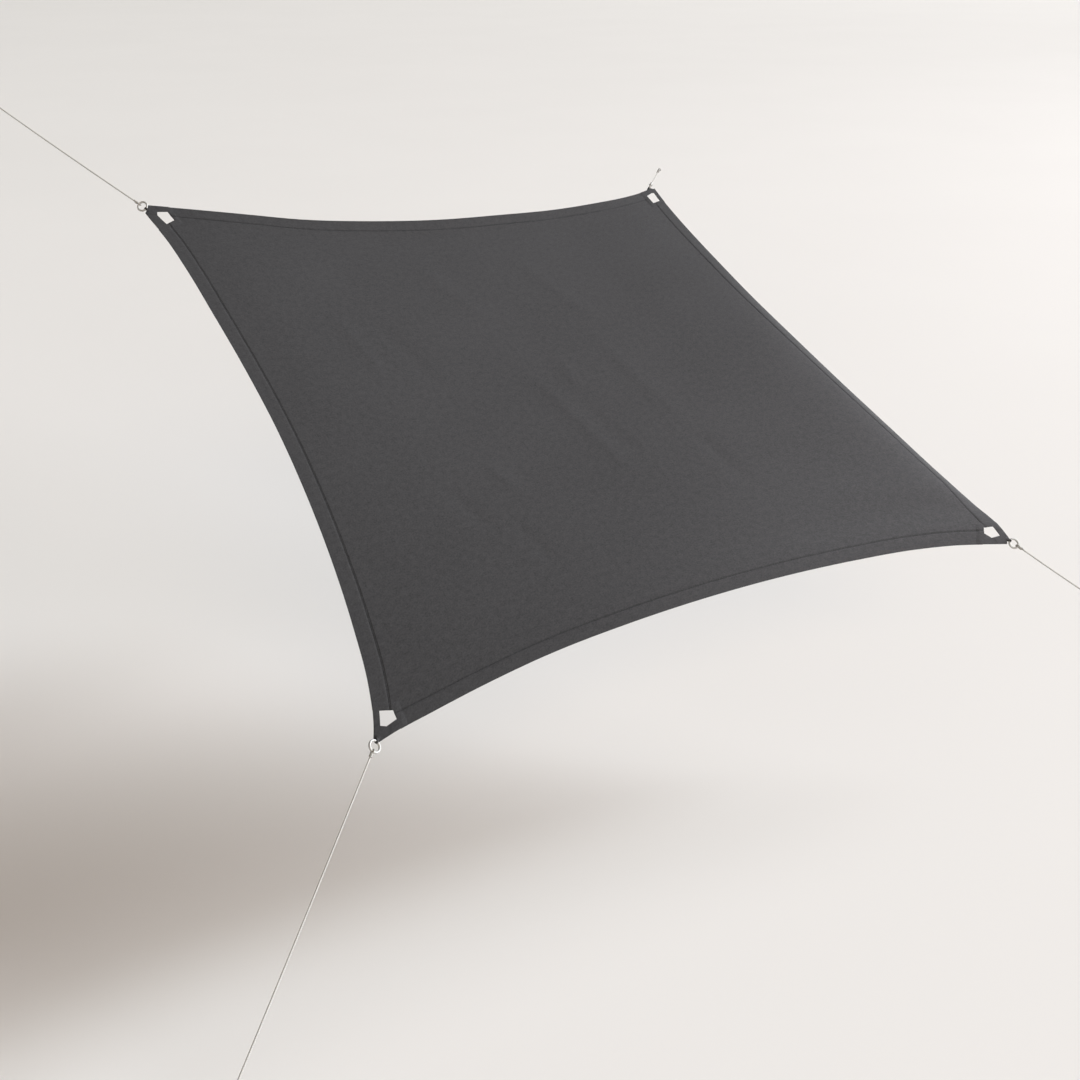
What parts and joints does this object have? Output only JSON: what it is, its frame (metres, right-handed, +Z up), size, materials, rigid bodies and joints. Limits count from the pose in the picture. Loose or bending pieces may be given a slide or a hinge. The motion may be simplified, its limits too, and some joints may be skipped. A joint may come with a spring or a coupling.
{
  "type": "shade sail",
  "caption": "Square hemmed shade sail stretched on a slope by cords from a steel ring at each webbing corner to small wall eyes.",
  "frame": {"origin": "middle of the flat back face of the upper right wall eye's flange, where the wall holds it", "axes": "+X along the level lower edge from the lower left corner to the lower right, +Y horizontal from the lower edge towards the higher upper edge, +Z up"},
  "size_m": [4.2315, 4.498, 2.1588],
  "materials": {
    "cloth": "matt charcoal outdoor cloth with a fine weave",
    "webbing": "matt dark grey woven webbing",
    "ring": "polished stainless steel",
    "cord": "pale grey twisted cord",
    "wall_eye": "satin stainless steel"
  },
  "bodies": {
    "root": {"sail_cloth": "cloth", "corner_upper_left": "webbing", "corner_upper_right": "webbing", "corner_lower_right": "webbing", "corner_lower_left": "webbing", "ring_upper_left": "ring", "ring_upper_right": "ring", "ring_lower_right": "ring", "ring_lower_left": "ring", "cord_upper_left": "cord", "cord_upper_right": "cord", "cord_lower_right": "cord", "cord_lower_left": "cord", "knot_ring_upper_left": "cord", "knot_ring_upper_right": "cord", "knot_ring_lower_right": "cord", "knot_ring_lower_left": "cord", "knot_eye_upper_left": "cord", "knot_eye_upper_right": "cord", "knot_eye_lower_right": "cord", "knot_eye_lower_left": "cord", "wall_eye_upper_left": "wall_eye", "wall_eye_upper_right": "wall_eye", "wall_eye_lower_right": "wall_eye", "wall_eye_lower_left": "wall_eye"}
  },
  "joints": []
}
